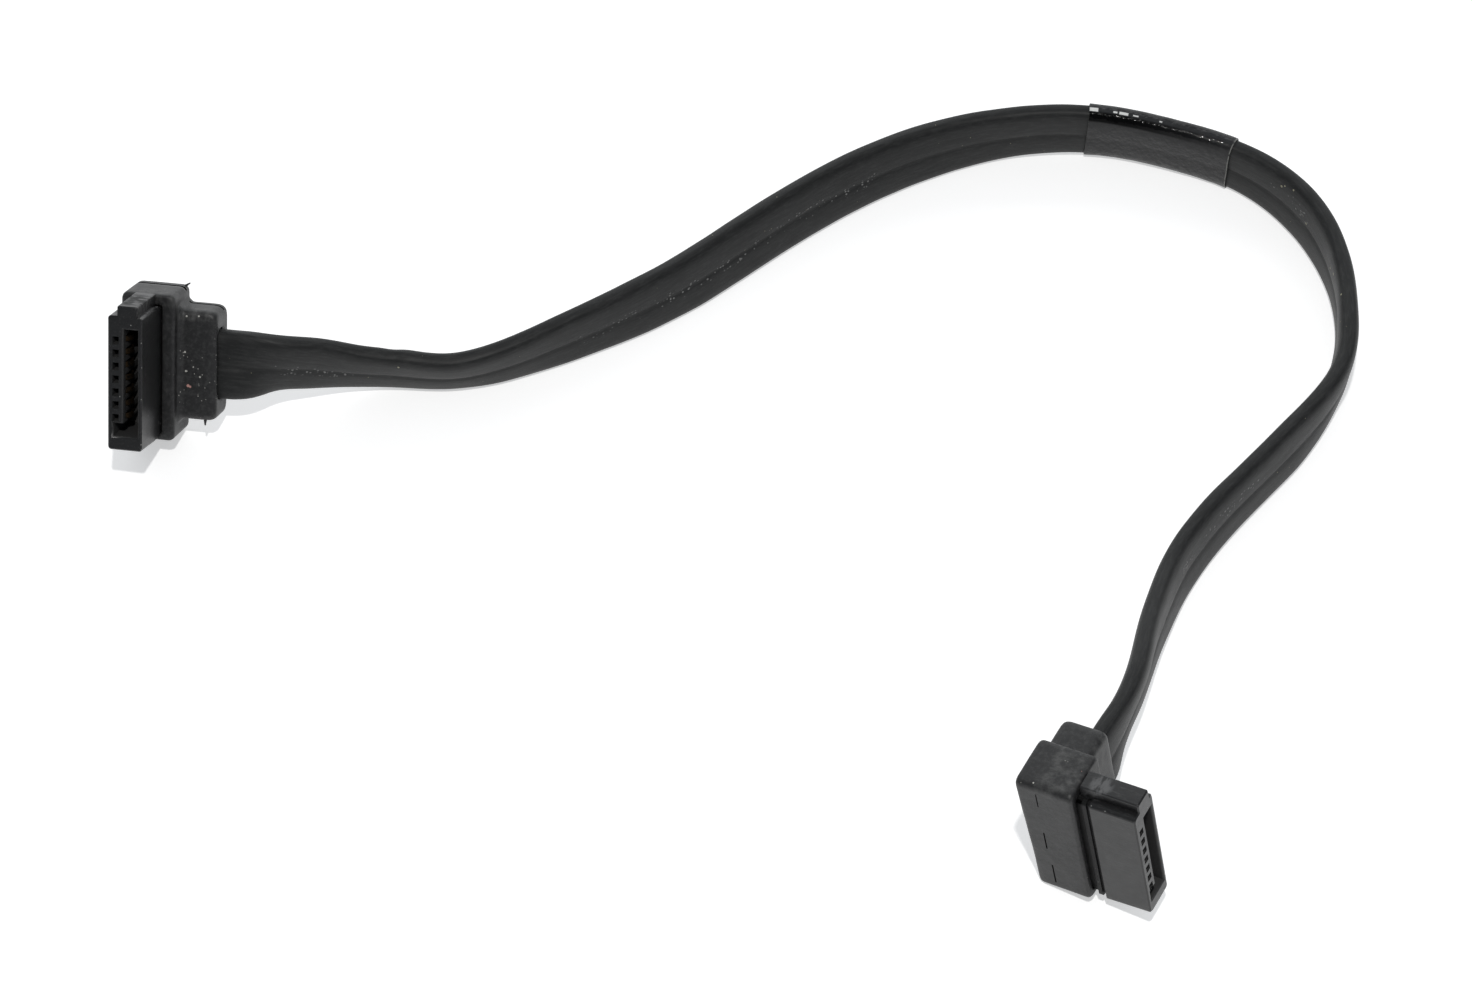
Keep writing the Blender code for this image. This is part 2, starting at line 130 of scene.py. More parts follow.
def pattern(tree, place, look):
    # look is (stretch, scale, detail, roughness)
    stretch, scale, detail, rough = look
    laid = stretched(tree, place, stretch)
    inputs = {"Vector": laid, "Scale": scale, "Detail": detail, "Roughness": rough}
    return node(tree, "ShaderNodeTexNoise", inputs).outputs[0]


def patches(tree, place, look):
    # look is a pattern's, and then the levels where its patches start and are whole
    *shape, start, whole = look
    return fade(tree, pattern(tree, place, shape), start, whole)


def boxMask(tree, place, centre, half, soft):
    # 1 inside a box in the pattern's own millimetres, 0 beyond soft millimetres outside it
    away = node(tree, "ShaderNodeVectorMath", {0: place, 1: centre}, operation="SUBTRACT")
    size = node(tree, "ShaderNodeVectorMath", {0: away.outputs[0]}, operation="ABSOLUTE")
    over = node(tree, "ShaderNodeVectorMath", {0: size.outputs[0], 1: half}, operation="SUBTRACT")
    parts = node(tree, "ShaderNodeSeparateXYZ", {0: over.outputs[0]}).outputs
    most = sums(tree, "MAXIMUM", parts[0], sums(tree, "MAXIMUM", parts[1], parts[2]))
    return fade(tree, most, soft, 0.0)


def specks(tree, place, scale, size, share):
    # small dots at scattered places, and only in some of the cells
    cells = node(tree, "ShaderNodeTexVoronoi", {"Vector": place, "Scale": scale})
    grains = fade(tree, cells.outputs["Distance"], size, size * 0.5)
    picked = node(tree, "ShaderNodeSeparateColor", {0: cells.outputs["Color"]}).outputs[0]
    return sums(tree, "MULTIPLY", grains, sums(tree, "LESS_THAN", picked, share))


def spotMask(tree, place, centre, radius):
    away = node(tree, "ShaderNodeVectorMath", {0: place, 1: centre}, operation="DISTANCE")
    return fade(tree, away.outputs["Value"], radius, radius * 0.5)


def joined(tree, masks):
    total = masks[0]
    for mask in masks[1:]:
        total = sums(tree, "MAXIMUM", total, mask)
    return total


def boxes(tree, place, spots):
    return joined(tree, [boxMask(tree, place, *spot) for spot in spots])


def dots(tree, place, spots):
    return joined(tree, [spotMask(tree, place, *spot) for spot in spots])


def strip(tree, place, girth, row, soft):
    # row is (from, to along in millimetres, where round, half the width in millimetres)
    start, end, middle, half = row
    centre = ((start + end) / 2, middle * girth, 0.0)
    return boxMask(tree, place, centre, ((end - start) / 2, half, 1.0), soft)


def blankMaterial(name, colour, roughness, metallic=0.0):
    made = bpy.data.materials.new(name)
    made.use_nodes = True
    shader = made.node_tree.nodes["Principled BSDF"]
    shader.inputs["Base Color"].default_value = (*colour, 1.0)
    shader.inputs["Roughness"].default_value = roughness
    shader.inputs["Metallic"].default_value = metallic
    return made, made.node_tree, shader


def dented(tree, shader, layers):
    # layers are (height socket, depth in metres), each bump carried by the next
    normal = None
    for height, depth in layers:
        inputs = {"Height": height, "Distance": depth, "Strength": 1.0}
        if normal:
            inputs["Normal"] = normal
        normal = node(tree, "ShaderNodeBump", inputs).outputs[0]
    tree.links.new(normal, shader.inputs["Normal"])


def wear(tree, shader, colour, roughness, masks, marks):
    # lays the marks over the colour, in the order of their masks
    tone = colour
    rough = roughness
    for name, mask in masks.items():
        tint, strength, dull = marks[name]
        factor = sums(tree, "MULTIPLY", mask, strength)
        tone = mixed(tree, factor, tone, tint)
        blend = node(tree, "ShaderNodeMix", {0: factor, 2: rough, 3: dull}, data_type="FLOAT")
        rough = blend.outputs[0]
    tree.links.new(tone, shader.inputs["Base Color"])
    tree.links.new(rough, shader.inputs["Roughness"])


def millimetres(tree):
    coords = node(tree, "ShaderNodeTexCoord")
    return stretched(tree, coords.outputs["Object"], (1000.0, 1000.0, 1000.0))


def moving(tree):
    # a piece's own millimetres, kept in its "local" attribute
    return node(tree, "ShaderNodeAttribute", attribute_name="local").outputs["Vector"]


# the cable: ribbon of two full oval lobes with a groove between them, in metres
cable = dict(
    width=0.0069,
    thick=0.002,
    web=0.00162,
    fullness=3.0,
    rings=620,
    lobeSteps=26,
    fineSteps=4000,
    pathPoints=140,
    sharpTurn=50,  # degrees
    wobble=0.000035,
    wobbleScale=(260, 2.2, 3.1),  # along in metres, round in lobes, and which wobble
    kinkAt=0.0186,  # along the cable from its inner end
    kinkLong=0.0011,
    kinkDeep=0.00012,
    kinkRise=(1.5, 0.6),  # the swelling beyond it: how far in kinks, and its share of the depth
)

# where the cable leaves each connector's neck, and how its wide side leans there
ends = dict(
    first=dict(
        exit=(-0.038843, 0.025552, 0.007579), away=(0.988472, -0.147728, 0.033155), lean=-35.2
    ),
    last=dict(exit=(0.043034, -0.020284, 0.007722), away=(0.507538, 0.861629, 0.0), lean=13.2),
    socket=0.0017,  # how far it goes into the neck
    straight=0.001,  # how far it stays straight outside
)

# x, y, height of the lower edge above the table, lean of the wide side in degrees
route = (
    (-0.0342, 0.0259, 0.0037, -6.5),
    (-0.0304, 0.0270, 0.0024, 5.0),
    (-0.0262, 0.0279, 0.0009, 14.0),
    (-0.0218, 0.0282, 0.0002, 17.0),
    (-0.0173, 0.0280, 0.0001, 20.0),
    (-0.0114, 0.0295, 0.0001, 13.0),
    (-0.0057, 0.0323, 0.0001, 3.0),
    (0.0010, 0.0361, 0.0001, -6.0),
    (0.0062, 0.0397, 0.0001, -10.5),
    (0.0113, 0.0440, 0.0001, -12.5),
    (0.0164, 0.0483, 0.0001, -12.5),
    (0.0216, 0.0522, 0.0001, -11.5),
    (0.0272, 0.0556, 0.0001, -9.0),
    (0.0330, 0.0582, 0.0001, -4.0),
    (0.0389, 0.0598, 0.0002, 2.5),
    (0.0448, 0.0603, 0.0004, 6.0),
    (0.0508, 0.0597, 0.0004, 9.0),
    (0.0563, 0.0580, 0.0004, 9.5),
    (0.0616, 0.0559, 0.0002, 8.0),
    (0.0663, 0.0523, 0.0001, 3.0),
    (0.0698, 0.0470, 0.0001, -0.5),
    (0.0716, 0.0404, 0.0001, 3.5),
    (0.0716, 0.0333, 0.0001, 3.5),
    (0.0696, 0.0261, 0.0001, -4.0),
    (0.0655, 0.0199, 0.0001, 5.0),
    (0.0609, 0.0146, 0.0001, 6.5),
    (0.0566, 0.0097, 0.0001, 9.0),
    (0.0527, 0.0041, 0.0001, 11.0),
    (0.0504, -0.0010, 0.0009, 8.5),
    (0.0485, -0.0064, 0.0022, 5.0),
    (0.0467, -0.0121, 0.0035, 0.0),
    (0.0448, -0.0166, 0.0040, 4.0),
)


def lobeSizes(width, thick, web):
    power = cable["fullness"]
    ratio = (1 - (web / thick) ** power) ** (1 / power)
    half = width / 2 / (1 + ratio)
    return half, half * ratio


def lobedOutline(width, thick, web, steps):
    # (across, along the wide side) once round, from the groove
    half, centre = lobeSizes(width, thick, web)
    power = 2 / cable["fullness"]
    reach = math.pi - math.acos((centre / half) ** (1 / power))
    out = []
    for side in (1, -1):
        for k in range(steps):
            t = reach - 2 * reach * k / steps
            u = math.copysign(abs(math.sin(t)) ** power, math.sin(t))
            v = math.copysign(abs(math.cos(t)) ** power, math.cos(t))
            out.append((side * thick / 2 * u, side * (centre + half * v)))
    return np.array(out)


def restHeight(lean):
    half, centre = lobeSizes(cable["width"], cable["thick"], cable["web"])
    power = cable["fullness"] / (cable["fullness"] - 1)
    c = abs(math.cos(math.radians(lean)))
    s = abs(math.sin(math.radians(lean)))
    return centre * c + ((half * c) ** power + (cable["thick"] / 2 * s) ** power) ** (1 / power)


def smoothThrough(knots, values, at):
    # natural cubic curve through the values
    count = len(knots)
    h = np.diff(knots)
    m = np.eye(count)
    r = np.zeros((count, values.shape[1]))
    for i in range(1, count - 1):
        m[i, i - 1 : i + 2] = (h[i - 1], 2 * (h[i - 1] + h[i]), h[i])
        r[i] = 6 * ((values[i + 1] - values[i]) / h[i] - (values[i] - values[i - 1]) / h[i - 1])
    bend = np.linalg.solve(m, r)
    i = np.clip(np.searchsorted(knots, at, side="right") - 1, 0, count - 2)
    a = (knots[i + 1] - at) / h[i]
    b = (at - knots[i]) / h[i]
    line = a[:, None] * values[i] + b[:, None] * values[i + 1]
    turn = (a**3 - a)[:, None] * bend[i] + (b**3 - b)[:, None] * bend[i + 1]
    return line + turn * (h[i] ** 2)[:, None] / 6


def endRows(end):
    exitPoint, away = np.array(end["exit"]), np.array(end["away"])
    steps = (-ends["socket"], 0.0, ends["straight"])
    return [(*(exitPoint + away * step), end["lean"]) for step in steps]


def laidRoute():
    middle = [(x, y, low + restHeight(lean), lean) for x, y, low, lean in route]
    rows = np.array(endRows(ends["first"]) + middle + endRows(ends["last"])[::-1])
    knots = np.r_[0, np.cumsum(np.linalg.norm(np.diff(rows[:, :3], axis=0), axis=1))]
    fine = smoothThrough(knots, rows, np.linspace(0, knots[-1], cable["fineSteps"]))
    length = np.r_[0, np.cumsum(np.linalg.norm(np.diff(fine[:, :3], axis=0), axis=1))]
    return fine, length


laid, laidLength = laidRoute()


def stations(start, end, count):
    # middle point, side way and wide way at even steps along the laid cable
    at = np.linspace(start, end, count)
    rows = np.stack([np.interp(at, laidLength, laid[:, k]) for k in range(4)], 1)
    run = np.gradient(rows[:, :3], at, axis=0)
    run /= np.linalg.norm(run, axis=1)[:, None]
    side = np.cross(run, (0.0, 0.0, 1.0))
    side /= np.linalg.norm(side, axis=1)[:, None]
    level = np.cross(side, run)
    lean = np.radians(rows[:, 3])[:, None]
    wide = np.cos(lean) * level + np.sin(lean) * side
    return at, rows[:, :3], np.cross(wide, run), wide


def sweptSkin(name, outline, start, end, count, lift, closed):
    # a grid bent round the outline and along the cable; lift(s, k) moves a point outwards
    at, middle, across, wide = stations(start, end, count)
    sides = len(outline)
    step = np.roll(outline, -1, 0) - np.roll(outline, 1, 0)
    step /= np.linalg.norm(step, axis=1)[:, None]
    out = np.stack([-step[:, 1], step[:, 0]], 1)
    out *= np.sign((out * outline).sum(1))[:, None]
    loop = np.vstack([outline, outline[:1]])
    arc = np.r_[0, np.cumsum(np.linalg.norm(np.diff(loop, axis=0), axis=1))]
    bm = bmesh.new()
    layer = bm.loops.layers.uv.new("along")
    bmesh.ops.create_grid(bm, x_segments=count - 1, y_segments=sides, size=0.5)
    cell = {}
    for vert in bm.verts:
        i = round((vert.co.x + 0.5) * (count - 1))
        k = round((vert.co.y + 0.5) * sides)
        cell[vert] = (i, k)
        u, v = outline[k % sides] + out[k % sides] * lift(at[i], k % sides)
        vert.co = middle[i] + across[i] * u + wide[i] * v
    for face in bm.faces:
        for corner in face.loops:
            i, k = cell[corner.vert]
            corner[layer].uv = (at[i] * 1000, arc[k] * 1000)  # millimetres along and round
    bmesh.ops.remove_doubles(bm, verts=bm.verts, dist=1e-7)
    if closed:
        bmesh.ops.holes_fill(bm, edges=[e for e in bm.edges if e.is_boundary], sides=0)
    bmesh.ops.recalc_face_normals(bm, faces=bm.faces)
    mesh = bpy.data.meshes.new(name)
    bm.to_mesh(mesh)
    bm.free()
    mesh.shade_smooth()
    mesh.set_sharp_from_angle(angle=math.radians(cable["sharpTurn"]))
    piece = bpy.data.objects.new(name, mesh)
    bpy.context.scene.collection.objects.link(piece)
    return piece


jacket = dict(
    colour=(0.0095, 0.01, 0.01),
    roughness=0.52,
    roughSpread=0.2,
    sheen=0.3,  # specular level
    streakDepth=0.000018,
    grainDepth=0.000014,
    # noise: stretch along and round, scale, detail, roughness, and levels for its patches
    streaks=((0.12, 3.0, 1.0), 1.6, 4.0, 0.6),
    grain=(unstretched, 9.0, 4.0, 0.65),
    dull=((0.25, 0.8, 1.0), 0.8, 3.0, 0.6),
    threads=((0.9, 7.0, 1.0), 1.1, 4.0, 0.7, 0.66, 0.76),
    worn=(unstretched, 0.16, 1.0, 0.5, 0.5, 0.66),
    clouds=((0.4, 2.0, 1.0), 1.4, 4.0, 0.75, 0.42, 0.7),
    clumps=((0.3, 1.0, 1.0), 0.9, 2.0, 0.5, 0.42, 0.55),
    broken=((0.7, 1.0, 1.0), 0.9, 3.0, 0.5, 0.3, 0.55),
    # dots: cells in a millimetre, radius and share of the cells
    dust=(1.1, 0.09, 0.2),
    rubDots=(3.4, 0.42, 0.45),
    rubStretch=(0.8, 1.0, 1.0),
    # colour, how strongly and how rough each mark is
    marks=dict(
        clouds=((0.055, 0.056, 0.056), 0.3, 0.6),
        scuffs=((0.13, 0.13, 0.125), 0.45, 0.7),
        rubs=((0.21, 0.21, 0.205), 0.9, 0.7),
        # painted highlights: pale lines along the grooves
        paintedGlints=((0.14, 0.14, 0.135), 0.75, 0.4),
        dust=((0.3, 0.28, 0.2), 0.6, 0.8),
        spots=((0.4, 0.38, 0.27), 0.8, 0.7),
    ),
    # from and to along the cable in millimetres, where round it (0 and 1 are one groove and
    # 0.5 is the other) and half the band's width in millimetres
    rubs=(
        (6.5, 14.5, 0.5, 0.35),
        (37.5, 74.5, 0.5, 0.4),
        (119.5, 125.5, 0.42, 0.6),
        (161.5, 176.5, 0.08, 0.5),
    ),
    rubSoft=0.5,
    # thin pale lines of painted highlight along the grooves, laid out as the rubs
    paintedGlints=(
        (133.0, 151.0, 0.47, 0.03),
        (153.0, 175.0, 0.53, 0.03),
        (177.0, 199.0, 0.47, 0.03),
        (177.0, 199.0, 0.03, 0.03),
    ),
    paintedGlintSoft=0.13,
    # along, round and size
    spots=(
        (19.4, 0.34, 0.16),
        (120.6, 0.36, 0.18),
        (121.0, 0.34, 0.12),
        (122.2, 0.32, 0.13),
        (125.2, 0.46, 0.17),
        (132.2, 0.42, 0.17),
        (133.6, 0.38, 0.2),
        (137.5, 0.3, 0.14),
    ),
)


def jacketMaterial(girth):
    made, tree, shader = blankMaterial("jacketPvc", jacket["colour"], jacket["roughness"])
    shader.inputs["Specular IOR Level"].default_value = jacket["sheen"]
    place = node(tree, "ShaderNodeUVMap", uv_map="along").outputs[0]
    dull = pattern(tree, place, jacket["dull"])
    rough = wandering(tree, dull, jacket["roughness"], jacket["roughSpread"])
    threads = patches(tree, place, jacket["threads"])
    scuffs = sums(tree, "MULTIPLY", threads, patches(tree, place, jacket["worn"]))
    dotted = specks(tree, stretched(tree, place, jacket["rubStretch"]), *jacket["rubDots"])
    dotted = sums(tree, "MULTIPLY", dotted, patches(tree, place, jacket["clumps"]))
    bands = [strip(tree, place, girth, row, jacket["rubSoft"]) for row in jacket["rubs"]]
    paintedGlintLines = [strip(tree, place, girth, row, jacket["paintedGlintSoft"]) for row in jacket["paintedGlints"]]
    masks = dict(
        clouds=patches(tree, place, jacket["clouds"]),
        scuffs=scuffs,
        rubs=sums(tree, "MULTIPLY", dotted, joined(tree, bands)),
        paintedGlints=sums(tree, "MULTIPLY", joined(tree, paintedGlintLines), patches(tree, place, jacket["broken"])),
        dust=specks(tree, place, *jacket["dust"]),
        spots=dots(tree, place, [((s, at * girth, 0.0), size) for s, at, size in jacket["spots"]]),
    )
    wear(tree, shader, jacket["colour"], rough, masks, jacket["marks"])
    streaks = pattern(tree, place, jacket["streaks"])
    grain = pattern(tree, place, jacket["grain"])
    dented(tree, shader, ((streaks, jacket["streakDepth"]), (grain, jacket["grainDepth"])))
    return made


def cableLift(s, k):
    lobes = k / cable["lobeSteps"]  # 0 to 1 on the upper lobe, 1 to 2 on the lower
    along, turn, seed = cable["wobbleScale"]
    lift = cable["wobble"] * noise.noise(Vector((s * along, lobes * turn, seed)))
    near = (s - cable["kinkAt"]) / cable["kinkLong"]
    if abs(near) < 3 and lobes < 1:
        beyond, share = cable["kinkRise"]
        crown = cable["kinkDeep"] * math.sin(math.pi * lobes) ** 2
        lift += crown * (share * math.exp(-((near - beyond) ** 2)) - math.exp(-(near**2)))
    return lift


def girthOf(outline):
    # in millimetres
    return 1000 * float(np.linalg.norm(np.roll(outline, -1, 0) - outline, axis=1).sum())


def makeCable():
    outline = lobedOutline(cable["width"], cable["thick"], cable["web"], cable["lobeSteps"])
    piece = sweptSkin("flatCable", outline, 0.0, laidLength[-1], cable["rings"], cableLift, True)
    piece.data.materials.append(jacketMaterial(girthOf(outline)))
    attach(piece, "root")
    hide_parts("flat_cable")
    return piece


flatCable = makeCable()
print("cable made,", round(laidLength[-1], 4), "m long")


# the clear label wrapped round the cable, its sizes in metres
label = dict(
    start=0.0982,
    long=0.0155,
    gap=0.0001,
    film=0.00012,
    bridge=0.0005,  # how much fuller than the ribbon's groove
    rings=110,
    wave=0.00003,
    waveScale=(700, 0.22, 7.7),  # along in metres, round in steps, and which wave
    waveRise=0.3,
    colour=(0.02, 0.02, 0.021),
    cloudColours=((0.006, 0.006, 0.0065), (0.016, 0.016, 0.017)),
    roughness=0.45,
    roughSpread=0.2,
    sheen=0.2,  # specular level
    coat=0.25,
    coatRoughness=0.03,
    rimColours=((0.05, 0.05, 0.05), (0.13, 0.13, 0.125)),
    rimRoughness=0.5,
    rimWorn=(unstretched, 1.5, 3.0, 0.5, 0.35, 0.6),
    cloud=(unstretched, 0.7, 3.0, 0.6),
    ripple=((1.6, 1.2, 1.0), 1.1, 3.0, 0.5),
    rippleDepth=0.00011,
    flecks=((0.6, 2.0, 1.0), 2.4, 4.0, 0.7, 0.66, 0.76),
    broken=(unstretched, 1.7, 3.0, 0.6, 0.3, 0.5),
    edgeWide=0.07,
    edgeSoft=0.08,
    # from and to in millimetres from the film's start, where round it, half the width
    # a near-black band below the crown: a painted dark reflection
    paintedDarkBand=(-1.0, 14.0, 0.3, 0.35),
    darkBandFade=(18.5, 3.5),  # the painted dark band fades from the second place to nothing at the first
    darkBandHides=0.85,
    shine=(-1.5, 16.5, 0.256, 0.1),
    bandSoft=0.3,
    # white strips along the crown are painted highlights, in rows as above
    creasesAndPaintedGlints=(
        (-0.2, 0.85, 0.256, 0.17),
        (2.55, 2.9, 0.256, 0.06),
        (3.2, 4.1, 0.256, 0.11),
        (4.7, 5.2, 0.256, 0.03),
        (7.5, 7.7, 0.256, 0.03),
    ),
    glintStripSoft=0.08,
    # colour, how strongly and how rough each mark is
    marks=dict(
        # the near-black band is a painted dark reflection
        paintedDarkBand=((0.001, 0.001, 0.001), 0.85, 0.12),
        edge=((0.3, 0.3, 0.28), 0.7, 0.4),
        flecks=((0.3, 0.3, 0.28), 0.12, 0.5),
        # the white strips are painted highlights
        creasesAndPaintedGlints=((0.85, 0.85, 0.83), 0.9, 0.3),
    ),
)


def onFilm(row):
    # a row in millimetres from the film's start becomes one along the cable
    start = label["start"] * 1000
    return start + row[0], start + row[1], *row[2:]


def filmMaterial(girth):
    made, tree, shader = blankMaterial("labelFilm", label["colour"], label["roughness"])
    place = node(tree, "ShaderNodeUVMap", uv_map="along").outputs[0]
    cloud = pattern(tree, place, label["cloud"])
    tone = mixed(tree, cloud, *label["cloudColours"])
    rough = wandering(tree, cloud, label["roughness"], label["roughSpread"])
    end = (label["start"] + label["long"]) * 1000
    rim = (end - label["edgeWide"], end + label["edgeWide"], 0.5, girth)
    edge = strip(tree, place, girth, rim, label["edgeSoft"])
    along = node(tree, "ShaderNodeSeparateXYZ", {0: place}).outputs[0]
    fading = fade(tree, along, *onFilm(label["darkBandFade"]))
    paintedDarkBand = strip(tree, place, girth, onFilm(label["paintedDarkBand"]), label["bandSoft"])
    paintedDarkBand = sums(tree, "MULTIPLY", paintedDarkBand, fading)
    # the white strips along the crown are painted highlights
    creasesAndPaintedGlints = [
        strip(tree, place, girth, onFilm(row), label["glintStripSoft"]) for row in label["creasesAndPaintedGlints"]
    ]
    masks = dict(
        paintedDarkBand=paintedDarkBand,
        edge=sums(tree, "MULTIPLY", edge, patches(tree, place, label["broken"])),
        flecks=patches(tree, place, label["flecks"]),
        creasesAndPaintedGlints=joined(tree, creasesAndPaintedGlints),
    )
    wear(tree, shader, tone, rough, masks, label["marks"])
    # neither the film nor its coat shines in the painted dark band, a painted dark reflection below
    # the crown
    outsideDarkBand = scaled(tree, paintedDarkBand, -label["darkBandHides"], 1.0)
    shader.inputs["Specular IOR Level"].default_value = label["sheen"]
    level = sums(tree, "MULTIPLY", outsideDarkBand, label["sheen"])
    tree.links.new(level, shader.inputs["Specular IOR Level"])
    shine = strip(tree, place, girth, onFilm(label["shine"]), label["bandSoft"])
    coat = scaled(tree, shine, 1.0 - label["coat"], label["coat"])
    shader.inputs["Coat Weight"].default_value = label["coat"]
    tree.links.new(sums(tree, "MULTIPLY", coat, outsideDarkBand), shader.inputs["Coat Weight"])
    shader.inputs["Coat Roughness"].default_value = label["coatRoughness"]
    dented(tree, shader, ((pattern(tree, place, label["ripple"]), label["rippleDepth"]),))
    tree.links.new(shader.inputs["Normal"].links[0].from_socket, shader.inputs["Coat Normal"])
    return made


def rimMaterial():
    made, tree, shader = blankMaterial("labelRim", label["rimColours"][1], label["rimRoughness"])
    place = node(tree, "ShaderNodeUVMap", uv_map="along").outputs[0]
    tone = mixed(tree, patches(tree, place, label["rimWorn"]), *label["rimColours"])
    tree.links.new(tone, shader.inputs["Base Color"])
    return made


def labelLift(s, k):
    along, turn, seed = label["waveScale"]
    return label["wave"] * (noise.noise(Vector((s * along, k * turn, seed))) + label["waveRise"])


def makeLabel():
    grow = 2 * label["gap"]
    outline = lobedOutline(
        cable["width"] + grow,
        cable["thick"] + grow,
        cable["web"] + label["bridge"],
        cable["lobeSteps"],
    )
    end = label["start"] + label["long"]
    piece = sweptSkin("labelSleeve", outline, label["start"], end, label["rings"], labelLift, False)
    piece.data.materials.append(filmMaterial(girthOf(outline)))
    piece.data.materials.append(rimMaterial())
    film = piece.modifiers.new("film", "SOLIDIFY")
    film.thickness = label["film"]
    film.offset = 1.0
    film.material_offset_rim = 1
    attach(piece, "root")
    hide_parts("label_sleeve")
    return piece


labelSleeve = makeLabel()
print("label made")


# each connector's own frame: X towards the cable's side, Y towards the rib, Z out of the mouth
connectors = dict(
    a=dict(place=(-0.04685, 0.01946, 0.011945), turn=(90 - 35.2, -1.9, -8.5)),
    b=dict(place=(0.04679, -0.03047, 0.009283), turn=(90 - 13.2, 0.0, 59.5)),
)
weld = 1e-6  # metres
flatTurn = 0.5  # degrees


def ownFrame(tag):
    spot = connectors[tag]
    turn = Euler([math.radians(angle) for angle in spot["turn"]])
    return Matrix.Translation(spot["place"]) @ turn.to_matrix().to_4x4()


def ownMillimetres(nodeName, tag, name, rounding=None):
    # a welded copy of a node, in its connector's frame and in millimetres
    bm = bmesh.new()
    bm.from_mesh(nodes[nodeName].data)
    bmesh.ops.remove_doubles(bm, verts=bm.verts, dist=weld)
    bmesh.ops.transform(bm, matrix=Matrix.Scale(1000, 4) @ ownFrame(tag).inverted(), verts=bm.verts)
    bmesh.ops.dissolve_limit(bm, angle_limit=math.radians(flatTurn), verts=bm.verts, edges=bm.edges)
    bmesh.ops.recalc_face_normals(bm, faces=bm.faces)
    if rounding:
        # only long sharp edges, so that the small windows keep their form
        turn = math.radians(rounding["angle"])
        sharp = [e for e in bm.edges if e.is_manifold and e.calc_face_angle() > turn]
        long = [e for e in sharp if e.calc_length() > rounding["shortest"]]
        bmesh.ops.bevel(
            bm,
            geom=long,
            offset=rounding["offset"],
            offset_type="OFFSET",
            affect="EDGES",
            segments=2,
            profile=0.5,
            material=-1,
            clamp_overlap=True,
        )
    mesh = bpy.data.meshes.new(name)
    bm.to_mesh(mesh)
    bm.free()
    piece = bpy.data.objects.new(name, mesh)
    bpy.context.scene.collection.objects.link(piece)
    return piece


def spike(bm, foot, tip, thick):
    # a sliver of flash left on the mould's parting line
    foot, tip = Vector(foot), Vector(tip)
    way = tip - foot
    turn = way.to_track_quat("Z", "Y").to_matrix().to_4x4()
    bmesh.ops.create_cone(
        bm,
        cap_ends=True,
        segments=6,
        radius1=thick,
        radius2=thick * mould["flashTip"],
        depth=way.length,
        matrix=Matrix.Translation((foot + tip) / 2) @ turn,
    )


def settled(piece, tag, move, flash=()):
    # applies the modifiers, keeps the own millimetres as an attribute and puts the piece in place
    shown = piece.evaluated_get(bpy.context.evaluated_depsgraph_get())
    mesh = bpy.data.meshes.new_from_object(shown)
    piece.modifiers.clear()
    piece.data = mesh
    if flash:
        bm = bmesh.new()
        bm.from_mesh(mesh)
        for foot, tip, thick in flash:
            spike(bm, foot, tip, thick)
        bm.to_mesh(mesh)
        bm.free()
    points = np.empty(len(mesh.vertices) * 3, np.float32)
    mesh.vertices.foreach_get("co", points)
    points = np.array([move(Vector(p)) for p in points.reshape(-1, 3)], np.float32).ravel()
    mesh.vertices.foreach_set("co", points)
    local = mesh.attributes.new("local", "FLOAT_VECTOR", "POINT")
    local.data.foreach_set("vector", points)
    mesh.transform(ownFrame(tag) @ Matrix.Scale(0.001, 4))
    mesh.update()
    return piece


# outer mould: soft black block with the neck that holds the cable, in millimetres
mould = dict(
    voxel=0.13,
    smoothing=5,
    wobble=0.02,
    wobbleScale=0.45,
    # b's back swells this far, from one depth on and over so much more of it, most at the top
    swell=0.42,
    swellFrom=-8.2,
    swellOver=1.5,
    swellFoot=-3.5,
    swellTall=11,
    colour=(0.0105, 0.0105, 0.011),
    roughness=0.48,
    roughSpread=0.2,
    sheen=0.45,  # specular level
    grain=(unstretched, 9.0, 4.0, 0.65),
    grainDepth=0.000015,
    pebble=(unstretched, 1.4, 3.0, 0.55),
    pebbleDepth=0.00003,
    slitDepth=0.00005,
    dull=(unstretched, 0.6, 3.0, 0.6),
    threads=((1.0, 5.0, 1.0), 1.6, 4.0, 0.7, 0.66, 0.78),
    clouds=(unstretched, 1.9, 4.0, 0.75, 0.42, 0.7),
    patchMottle=((1.6, 0.5, 1.0), 1.0, 4.0, 0.6, 0.4, 0.75),
    # cells in a millimetre, radius and share of the cells
    dust=(1.5, 0.11, 0.14),
    fleckDots=(2.8, 0.2, 0.5),
    # colour, how strongly and how rough each mark is
    marks=dict(
        clouds=((0.07, 0.07, 0.07), 0.35, 0.6),
        threads=((0.12, 0.12, 0.118), 0.35, 0.7),
        dust=((0.42, 0.41, 0.38), 0.5, 0.8),
        slits=((0.001, 0.001, 0.001), 0.95, 0.95),
        rubs=((0.15, 0.15, 0.145), 0.4, 0.6),
        # pale lines: on a along the parting line, on b a painted highlight along the neck's end
        # edge
        paleLinesAndEdgeGlint=((0.15, 0.15, 0.145), 0.7, 0.5),
        flecks=((0.42, 0.41, 0.38), 0.8, 0.8),
        pale=((0.55, 0.54, 0.5), 0.85, 0.6),
        pink=((0.6, 0.32, 0.28), 0.8, 0.6),
    ),
    # foot, tip and thickness of the two slivers on connector a, in its own millimetres
    flash=(
        ((2.5, 7.2, -10.3), (3.15, 7.65, -10.5), 0.2),
        ((5.7, -4.8, -7.4), (5.7, -5.6, -7.3), 0.22),
    ),
    flashTip=0.3,
)


